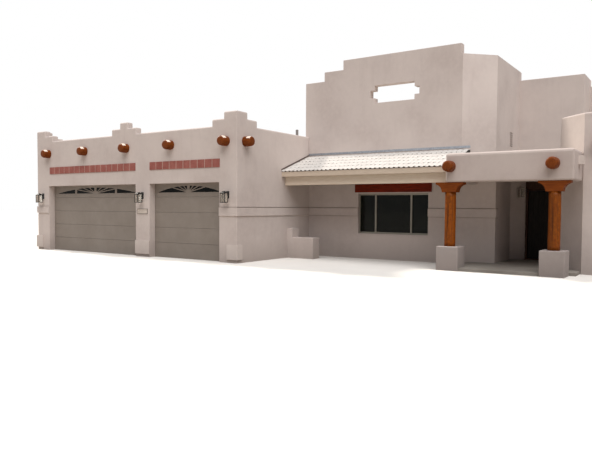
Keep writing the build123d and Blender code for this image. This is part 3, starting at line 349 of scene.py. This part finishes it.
def joined(name, nodes):
    """One mesh of several CAD nodes, made one solid where they touch."""
    copies = []
    for node_name in nodes:
        data = bpy.data.meshes.new(name)
        copy = clean_copy(node_name)
        copy.to_mesh(data)
        copy.free()
        copies.append(bpy.data.objects.new(node_name + "_copy", data))
    group = bpy.data.collections.new(name + "_parts")
    for other in copies[1:]:
        group.objects.link(other)
    bpy.context.scene.collection.objects.link(copies[0])
    bpy.context.scene.collection.children.link(group)
    union = copies[0].modifiers.new("union", "BOOLEAN")
    union.operation = "UNION"
    union.solver = "EXACT"
    union.operand_type = "COLLECTION"
    union.collection = group
    whole = copies[0].evaluated_get(bpy.context.evaluated_depsgraph_get())
    result = bmesh.new()
    result.from_mesh(whole.to_mesh())
    whole.to_mesh_clear()
    for copy in copies:
        bpy.data.objects.remove(copy)
    bpy.data.collections.remove(group)
    return flattened(result, UNION_WELD)


def ease(mesh, edges, radius, segments=2):
    """Round some edges of a mesh to a radius."""
    bmesh.ops.bevel(mesh, geom=edges, offset=radius, offset_type="OFFSET", segments=segments, profile=0.5,
                    affect="EDGES", clamp_overlap=True, material=-1)


def block(mesh, low, high):
    """Add a box between two corners to a mesh."""
    made = bmesh.ops.create_cube(mesh, size=1)["verts"]
    bmesh.ops.scale(mesh, vec=high - low, verts=made)
    bmesh.ops.translate(mesh, vec=(low + high) / 2, verts=made)
    return made


# Edges of the coat that stay sharp: short ones, those of narrow faces, blunt ones and those on the ground
SHORTEST_EDGE = 80 * MM
NARROWEST_FACE = 55 * MM
SHARP_CORNER = math.radians(50)
AT_GROUND = 20 * MM


def round_corners(mesh, zones):
    """Round the edges of a coat of stucco; each zone, from the top down, has a lowest height and radius."""
    def broad(face):
        return 2 * face.calc_area() / sum(edge.calc_length() for edge in face.edges) > NARROWEST_FACE

    top = math.inf
    for bottom, radius in zones:
        mesh.normal_update()
        edges = [
            edge for edge in mesh.edges
            if len(edge.link_faces) == 2 and edge.calc_face_angle_signed() > SHARP_CORNER
            and edge.calc_length() > SHORTEST_EDGE and all(broad(face) for face in edge.link_faces)
            and max(vert.co.z for vert in edge.verts) > AT_GROUND
            and bottom < min(vert.co.z for vert in edge.verts) <= top
        ]
        ease(mesh, edges, radius, segments=3)
        top = bottom


coats = {
    "garage_stucco": ["garage_header", "garage_piers", "garage_left_wall", "garage_right_wall",
                      "garage_back_wall", "planter_wall"],
    "house_stucco": ["main_front_wall", "entry_left_wall", "entry_splay_walls", "entry_header",
                     "tower_left_wall", "tower_right_wall", "middle_block_wall", "rear_block_wall",
                     "back_wall"],
    "wing_stucco": ["wing_front_wall", "wing_left_wall", "wing_corner_wall", "wing_right_wall"],
    "portico_stucco": ["portico_front_beam", "portico_side_beams"],
    "pedestal_stucco": ["portico_pedestals"],
}
# Rounded edges: wide from UPPER_ZONE up, narrower below it, and widest along the portico's top
UPPER_ZONE = 2.0
UPPER_RADIUS = 45 * MM
LOWER_RADIUS = 22 * MM
PORTICO_CROWN_RADIUS = 80 * MM
PORTICO_CROWN_DEPTH = 100 * MM
UNDERGROUND = -1.0
# The plinth blocks stand out of the garage's walls, between these heights and by no more than PLINTH_PROUD
PLINTH_BOTTOM = 95 * MM
PLINTH_TOP = 555 * MM
PROUD = 10 * MM
PLINTH_PROUD = 60 * MM
# Middles of the two joints along the stucco band, how far their faces reach from them, and their depth
LOWER_JOINT = 1404 * MM
UPPER_JOINT = 1676 * MM
JOINT_REACH = 12 * MM
JOINT_DEPTH = 20 * MM
# Slots of a coat after its skin: the plinth, darker painted shade in the joints, and a fainter painted tone
# in the joints
PLINTH_SKIN, JOINT_SHADE_SKIN, JOINT_TONE_SKIN = 1, 2, 3
garage_low, garage_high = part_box("garage_header")
portico_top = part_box("portico_front_beam")[1].z
for name, nodes in coats.items():
    coat = joined(name, nodes)
    zones = [(UPPER_ZONE, UPPER_RADIUS), (UNDERGROUND, LOWER_RADIUS)]
    if name == "portico_stucco":
        zones.insert(0, (portico_top - PORTICO_CROWN_DEPTH, PORTICO_CROWN_RADIUS))
    round_corners(coat, zones)
    for face in coat.faces:
        middle = face.calc_center_median()
        proud = middle.y < garage_low.y - PROUD or PROUD < middle.x - garage_high.x < PLINTH_PROUD
        if name == "garage_stucco" and proud and PLINTH_BOTTOM < middle.z < PLINTH_TOP:
            face.material_index = PLINTH_SKIN
        # Painted shade is darkest in the upper joint, but not on the garage's front
        upper = abs(middle.z - UPPER_JOINT) < JOINT_REACH
        lower = abs(middle.z - LOWER_JOINT) < JOINT_REACH
        if upper or lower:
            deep_joint_shade = upper and middle.y > garage_low.y + JOINT_DEPTH
            face.material_index = JOINT_SHADE_SKIN if deep_joint_shade else JOINT_TONE_SKIN
    skin = {"portico_stucco": shaded_porch_stucco, "pedestal_stucco": shaded_pedestal_stucco}.get(name, stucco)
    # The fainter joint tone is painted light on the garage and faint painted shade elsewhere
    faint = painted_joint_light if name == "garage_stucco" else faint_painted_joint_shade
    piece(name, coat, [skin, plinth_stucco, painted_joint_shade, faint], nodes)

# Clay tiles of the porch roof: rows of barrels over pans, each course lapped over the one below
ROLLS = 37
COURSES = 5
LAP = 60 * MM
TILE_THICK = 10 * MM
TILE_SIDES = 36
# Pans are shallow arcs, cut off at a share of their radius
PAN_RADIUS = 118 * MM
PAN_DEPTH = 44 * MM
PAN_RIM = 0.84
# Barrels are half round, a share of the pitch wide, and taper up the slope
BARREL_SHARE = 0.36
BARREL_TAPER = 0.88
# Turns, in radians, that bring a tile's upper end down under the next course
PAN_TURN = -0.012
BARREL_TURN = -0.035
# How far a tile may lie off its place, in millimetres: across, up the slope and off the roof
SLIPS = (3, 5, 2)
# Mortar plugs under the lower ends of the barrels, set back, whose near-black colour is painted shade
STOP_SIDES = 16
STOP_GAP = 3 * MM
STOP_THICK = 40 * MM
STOP_SETBACK = 14 * MM
# Half circles reach down to just below their axis, so that their last corners stay
BELOW_AXIS = -1 * MM
SOFT_ANGLE = math.radians(35)
UPRIGHT = Matrix.Rotation(math.radians(90), 4, "X")

tile_low, tile_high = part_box("roof_tiles")
eave_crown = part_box("roof_flashing")[0].z
slope = math.atan2(tile_high.z - eave_crown, tile_high.y - tile_low.y)
course = (tile_high.y - tile_low.y) / math.cos(slope) / COURSES
roll_pitch = (tile_high.x - tile_low.x) / ROLLS
barrel_radius = BARREL_SHARE * roll_pitch
barrel_axis = -barrel_radius - TILE_THICK
to_roof = Matrix.Translation((tile_low.x, tile_low.y, eave_crown)) @ Matrix.Rotation(slope, 4, "X")
tiles = bmesh.new()


def arc(sides, radius, lowest, highest):
    """A mesh with the part of an upright circle that lies between two heights."""
    made = bmesh.new()
    bmesh.ops.create_circle(made, segments=sides, radius=radius, matrix=UPRIGHT)
    gone = [vert for vert in made.verts if not lowest < vert.co.z < highest]
    bmesh.ops.delete(made, geom=gone, context="VERTS")
    return made


def corners(items):
    """The corners among the items that an operator made."""
    return [item for item in items if isinstance(item, bmesh.types.BMVert)]


def clay_tile(radius, lowest, highest, length, narrower=1.0):
    """A tapered clay tile along +Y, whose section is the arc of a circle between two heights."""
    shell = arc(TILE_SIDES, radius, lowest, highest)
    far = corners(bmesh.ops.extrude_edge_only(shell, edges=shell.edges)["geom"])
    bmesh.ops.scale(shell, vec=(narrower, 1, narrower), verts=far)
    bmesh.ops.translate(shell, vec=(0, length, 0), verts=far)
    bmesh.ops.recalc_face_normals(shell, faces=shell.faces)
    bmesh.ops.solidify(shell, geom=shell.faces[:], thickness=TILE_THICK)
    bmesh.ops.recalc_face_normals(shell, faces=shell.faces)
    return shell


def mortar_stop(radius):
    """A half round plug of mortar along +Y."""
    plug = arc(STOP_SIDES, radius, BELOW_AXIS, math.inf)
    made = bmesh.ops.contextual_create(plug, geom=plug.verts[:])["faces"]
    far = corners(bmesh.ops.extrude_face_region(plug, geom=made, use_keep_orig=True)["geom"])
    bmesh.ops.translate(plug, vec=(0, STOP_THICK, 0), verts=far)
    bmesh.ops.recalc_face_normals(plug, faces=plug.faces)
    for face in plug.faces:
        face.material_index = 1
    return plug


def lay(one, turn, *place):
    """Add a tile to the roof, where place is across, up the slope and above its crowns."""
    onto = to_roof @ Matrix.Translation(place) @ Matrix.Rotation(turn, 4, "X")
    bmesh.ops.transform(one, matrix=onto, verts=one.verts)
    shell = bpy.data.meshes.new("tile")
    one.to_mesh(shell)
    one.free()
    tiles.from_mesh(shell)
    bpy.data.meshes.remove(shell)


def slips():
    """Draw how far a tile lies off its place."""
    return [random.uniform(-reach, reach) * MM for reach in SLIPS]


random.seed(11)
for roll in range(ROLLS):
    for row in range(COURSES):
        across = roll * roll_pitch
        up = row * course
        length = course + LAP * (row < COURSES - 1)
        lay(mortar_stop(barrel_radius - STOP_GAP), 0, across, up + STOP_SETBACK, barrel_axis)
        slip = slips()
        lay(clay_tile(PAN_RADIUS, -math.inf, -PAN_RIM * PAN_RADIUS, length), PAN_TURN,
            across + roll_pitch / 2 + slip[0], up, PAN_RADIUS - PAN_DEPTH + slip[2])
        slip = slips()
        lay(clay_tile(barrel_radius, BELOW_AXIS, math.inf, length, BARREL_TAPER), BARREL_TURN,
            across + slip[0], up + slip[1], barrel_axis + slip[2])
for edge in tiles.edges:
    edge.smooth = len(edge.link_faces) == 2 and edge.calc_face_angle() < SOFT_ANGLE
for face in tiles.faces:
    face.smooth = True
piece("clay_roof_tiles", tiles, [pale_clay, shade_dark_mortar], ["roof_tiles"])


def join_rings(mesh, rings, ends, place):
    """Join rings of corners into a log, close it at some ends and move it to its place."""
    for near, far in zip(rings, rings[1:]):
        loops = [edge for ring in (near, far) for vert in ring for edge in vert.link_edges
                 if all(end in ring for end in edge.verts)]
        bmesh.ops.bridge_loops(mesh, edges=list(dict.fromkeys(loops)))
    for end in ends:
        bmesh.ops.contextual_create(mesh, geom=end)
    bmesh.ops.transform(mesh, matrix=place, verts=[vert for ring in rings for vert in ring])


def smooth_sides(mesh):
    """Turn the faces of round logs outwards, and shade all but their flat ends smooth."""
    bmesh.ops.recalc_face_normals(mesh, faces=mesh.faces)
    for face in mesh.faces:
        face.smooth = len(face.verts) == 4


# Log ends: peeled logs with a rounded nose; each ring lies at a share of the length and of the radius
LOG_RADIUS = 155 * MM
LOG_SIDES = 40
LOG_PROFILE = ((0.0, 1.0), (0.42, 1.0), (0.5, 1.0), (0.6, 0.995), (0.7, 0.985), (0.78, 0.965),
               (0.86, 0.93), (0.92, 0.86), (0.965, 0.76), (0.99, 0.6), (0.998, 0.3))
# Waves that put a log out of round: how many go round it, their depth and their shift from log to log
LOG_WAVES = ((2, 0.012, 1), (5, 0.006, 2))
GRAIN_STEP = 3.0
# A painted sun highlight: a near-white patch on the upper flank of the garage's logs, towards the yard
HIGHLIGHT_RINGS = (0.45, 0.88)
HIGHLIGHT_MIDDLE = math.radians(34)
HIGHLIGHT_HALF_ANGLE = math.radians(23)
GARAGE_LOG_HEIGHT = 3.4
garage_middle = (garage_low.x + garage_high.x) / 2
wall_logs = bmesh.new()
grain_place = wall_logs.verts.layers.float_vector.new("log_grain")
highlight_share = wall_logs.verts.layers.float.new("painted_sun_highlight")
for index, (low, high) in enumerate(islands("log_ends")):
    middle = (low + high) / 2
    size = high - low
    if size.x < size.y:
        out = Vector((math.copysign(1, middle.x - garage_middle), 0, 0))
        length = size.x
        patch = math.pi / 2 + HIGHLIGHT_MIDDLE
    else:
        out = Vector((0, math.copysign(1, middle.y), 0))
        length = size.y
        patch = math.pi / 2 - HIGHLIGHT_MIDDLE
    rings = []
    for far, share in LOG_PROFILE:
        in_highlight = low.z > GARAGE_LOG_HEIGHT and HIGHLIGHT_RINGS[0] < far < HIGHLIGHT_RINGS[1]
        ring = bmesh.ops.create_circle(wall_logs, segments=LOG_SIDES, radius=LOG_RADIUS * share)["verts"]
        for vert in ring:
            angle = math.atan2(vert.co.y, vert.co.x)
            round_share = 1 - sum(depth * (1 + math.sin(count * angle + shift * index))
                                  for count, depth, shift in LOG_WAVES)
            vert.co = Vector((vert.co.x * round_share, vert.co.y * round_share, far * length))
            vert[grain_place] = vert.co + Vector((index, 0, index)) * GRAIN_STEP
            vert[highlight_share] = in_highlight and abs(patch - angle) < HIGHLIGHT_HALF_ANGLE
        rings.append(ring)
    root = Matrix.Translation(middle - out * length / 2)
    join_rings(wall_logs, rings, [rings[-1]], root @ out.to_track_quat("Z", "Y").to_matrix().to_4x4())
smooth_sides(wall_logs)
piece("peeled_log_ends", wall_logs, [log_wood], ["log_ends"])

# Posts of the portico: whole logs, a little out of round and slimmer towards the top
POST_SIDES = 72
POST_STEPS = 12
POST_SHARE = 0.985
POST_WAVE = 0.012
POST_TAPER = 0.02
# Three long drying cracks: the turn round the post and the width, in radians, and the depth in metres
CRACKS = ((-1.95, 0.11, 0.016), (-1.05, 0.05, 0.010), (1.3, 0.08, 0.012))
CRACK_SWAY = 0.25
CRACK_MARGIN = 0.05
# The darkest share of painted shade deep in a crack
CRACK_SHADE = 0.8
posts = bmesh.new()
grain_place = posts.verts.layers.float_vector.new("log_grain")
crack_shade = posts.verts.layers.float.new("painted_crack_shade")
for index, (low, high) in enumerate(islands("portico_columns")):
    middle = (low + high) / 2
    radius = (high.x - low.x) / 2
    rings = []
    for step in range(POST_STEPS + 1):
        rise = step / POST_STEPS
        run = min(1, max(0, rise * (1 + 2 * CRACK_MARGIN) - CRACK_MARGIN))
        sway = CRACK_SWAY * math.sin(2 * rise + index)
        ring = bmesh.ops.create_circle(posts, segments=POST_SIDES, radius=1)["verts"]
        for vert in ring:
            angle = math.atan2(vert.co.y, vert.co.x)
            wave = POST_WAVE * math.sin(3 * angle + 5 * rise + index)
            size = radius * (POST_SHARE - wave - POST_TAPER * rise)
            for turn, wide, deep in CRACKS:
                away = (angle - turn - sway) / wide
                share = math.exp(-away * away) * math.sin(math.pi * run)
                size -= deep * share
                vert[crack_shade] = max(vert[crack_shade], CRACK_SHADE * share)
            vert.co = Vector((size * math.cos(angle), size * math.sin(angle), rise * (high.z - low.z)))
            vert[grain_place] = vert.co + Vector((index, 0, 0))
        rings.append(ring)
    join_rings(posts, rings, [rings[0], rings[-1]], Matrix.Translation((middle.x, middle.y, low.z)))
smooth_sides(posts)
piece("pine_posts", posts, [post_wood], ["portico_columns"])

# Edges of a fitting that bend more are eased
EASED_CORNER = math.radians(30)


def eased(name, node, materials, radius, second=None):
    """A CAD piece with its sharp edges eased; faces that second picks get the second material."""
    work = clean_copy(node)
    work.normal_update()
    sharp = [edge for edge in work.edges if len(edge.link_faces) == 2
             and edge.calc_face_angle() > EASED_CORNER and edge.calc_length() > 3 * radius]
    ease(work, sharp, radius)
    for face in work.faces:
        face.material_index = bool(second and second(face.calc_center_median()))
    piece(name, work, materials, [node])


# The lintel over the entry door takes its frame's dark stain as painted shade, the small lantern beside it
# is pale, and the strip that closes the tiles against the garage is brown
LINTEL_REACH = 300 * MM
STRIP_DEPTH = 10 * MM
STRIP_REACH = 20 * MM
wall_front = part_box("main_front_wall")[0].y
door_low, door_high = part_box("entry_door")
eased("sawn_lintels", "wooden_lintels", [lintel_wood, frame_wood], 8 * MM,
      lambda place: door_low.x - LINTEL_REACH < place.x < door_high.x + LINTEL_REACH)
eased("carved_corbels", "portico_corbels", [beam_wood], 8 * MM)
eased("porch_fascia_board", "porch_fascia", [fascia_wood], 5 * MM)
eased("planed_eave_beam", "eave_beam", [bounce_lit_eave_paint], 6 * MM)
eased("aluminium_window_frames", "window_frames", [frame_paint], 4 * MM)
eased("lantern_frames_cast", "lantern_frames", [black_iron, pale_enamel], 2 * MM,
      lambda place: place.y > wall_front)
eased("roof_flashing_strips", "roof_flashing", [flashing, strip_paint], 2 * MM,
      lambda place: place.y < wall_front + STRIP_DEPTH and place.x < garage_high.x + STRIP_REACH)

# Red tile bands over the garage doors: eased tiles with pale mortar set back in the joints
TILE_EASE = 3 * MM
GROUT_SETBACK = 4 * MM
WIDEST_JOINT = 50 * MM
bands = clean_copy("tile_bands")
band_tiles = islands("tile_bands")
ease(bands, bands.edges[:], TILE_EASE)
for (low, high), (after, _) in zip(band_tiles, band_tiles[1:]):
    if after.x - high.x < WIDEST_JOINT:
        grout = block(bands, Vector((high.x, low.y + GROUT_SETBACK, low.z)),
                      Vector((after.x, high.y, high.z)))
        for face in {face for vert in grout for face in vert.link_faces}:
            face.material_index = 1
piece("red_tile_bands", bands, [red_clay, band_mortar], ["tile_bands"])

# Plain glazed plaque set in a narrow raised rim; a face is its front where its normal points forward
RIM_WIDTH = 22 * MM
RIM_SLOPE = 6 * MM
GLAZE_SETBACK = 8 * MM
FORWARD = -0.9
plaque = bmesh.new()
block(plaque, *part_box("number_plaque"))
front_face = [face for face in plaque.faces if face.normal.y < FORWARD]
for face in plaque.faces:
    face.material_index = 1
bmesh.ops.inset_region(plaque, faces=front_face, thickness=RIM_WIDTH, depth=0)
for face in front_face:
    face.material_index = 0
bmesh.ops.inset_region(plaque, faces=front_face, thickness=RIM_SLOPE, depth=-GLAZE_SETBACK)
piece("glazed_plaque", plaque, [plaque_glaze, plaque_rim], ["number_plaque"])

# Entry door of upright boards
BOARDS = 6
BOARD_GAP = 0.5 * MM
BOARD_EASE = 5 * MM
board_width = (door_high.x - door_low.x) / BOARDS
door = bmesh.new()
for index in range(BOARDS):
    left = door_low.x + index * board_width + BOARD_GAP / 2
    block(door, Vector((left, door_low.y, door_low.z)),
          Vector((left + board_width - BOARD_GAP, door_high.y, door_high.z)))
ease(door, door.edges[:], BOARD_EASE)
piece("boarded_entry_door", door, [door_wood], ["entry_door"], "entry_door_leaf")

# Pale floor, and a plain world that is white to the camera, in reflections and through glass
FLOOR_REACH = 150
floor_mesh = bpy.data.meshes.new("studio_floor")
flat = bmesh.new()
bmesh.ops.create_grid(flat, x_segments=1, y_segments=1, size=FLOOR_REACH)
flat.to_mesh(floor_mesh)
flat.free()
studio_floor = placed("studio_floor", floor_mesh)
floor_paint, tree, shader, place = start("pale_studio_floor", 0.9)
rays = add(tree, "ShaderNodeLightPath")
pale = tint(tree, "#e4e1dd", "#e8e6e2", cloud(tree, place, 2.0), 0.3, 0.7)
surface(tree, shader, tint(tree, pale, "#a79e94", rays.outputs["Is Diffuse Ray"], 0.0, 1.0))
floor_mesh.materials.append(floor_paint)

world = bpy.data.worlds.new("studio")
bpy.context.scene.world = world
world.use_nodes = True
tree = world.node_tree
tree.nodes.clear()
rays = add(tree, "ShaderNodeLightPath")
seen = rays.outputs["Is Camera Ray"]
for kind in ("Is Glossy Ray", "Is Transmission Ray"):
    seen = add(tree, "ShaderNodeMath", {0: seen, 1: rays.outputs[kind]}, operation="MAXIMUM").outputs[0]
fill = add(tree, "ShaderNodeBackground", {"Color": linear("#eceff8"), "Strength": 0.27})
white = add(tree, "ShaderNodeBackground", {"Color": linear("#ffffff"), "Strength": 1.0})
mixed = add(tree, "ShaderNodeMixShader", {0: seen, 1: fill.outputs[0], 2: white.outputs[0]})
add(tree, "ShaderNodeOutputWorld", {"Surface": mixed.outputs[0]})


def sun(name, towards, strength, angle, colour):
    """A soft sun lamp that shines from a direction."""
    lamp = bpy.data.lights.new(name, "SUN")
    lamp.energy = strength
    lamp.angle = math.radians(angle)
    lamp.color = linear(colour)[:3]
    placed(name, lamp).rotation_euler = Vector(towards).to_track_quat("Z", "Y").to_euler()


sun("key", (-0.77, 0.09, 0.63), 3.3, 5, "#fff6ea")
sun("fill", (0.35, -0.35, 0.87), 2.95, 60, "#fffcf9")

# Camera where the photograph was taken from, at eye height; angles in degrees, focal length in its pixels
CAMERA_PLACE = (9.515, -19.90, 1.70)
CAMERA_TURN = 34.02
CAMERA_PITCH = -2.42
CAMERA_ROLL = 0.31
CAMERA_SHIFT = 0.0073
FOCAL = 604
FRAME_WIDTH = 592
SENSOR_WIDTH = 36
FARTHEST = 500
lens = bpy.data.cameras.new("camera")
lens.sensor_width = SENSOR_WIDTH
lens.lens = SENSOR_WIDTH * FOCAL / FRAME_WIDTH
lens.shift_y = CAMERA_SHIFT
lens.clip_end = FARTHEST
camera = placed("camera", lens)
turn = Matrix.Rotation(math.radians(CAMERA_TURN), 4, "Z")
tilt = Matrix.Rotation(math.radians(90 + CAMERA_PITCH), 4, "X")
lean = Matrix.Rotation(math.radians(CAMERA_ROLL), 4, "Z")
camera.matrix_world = Matrix.Translation(CAMERA_PLACE) @ turn @ tilt @ lean
bpy.context.scene.camera = camera
bpy.context.scene.view_settings.view_transform = "Standard"
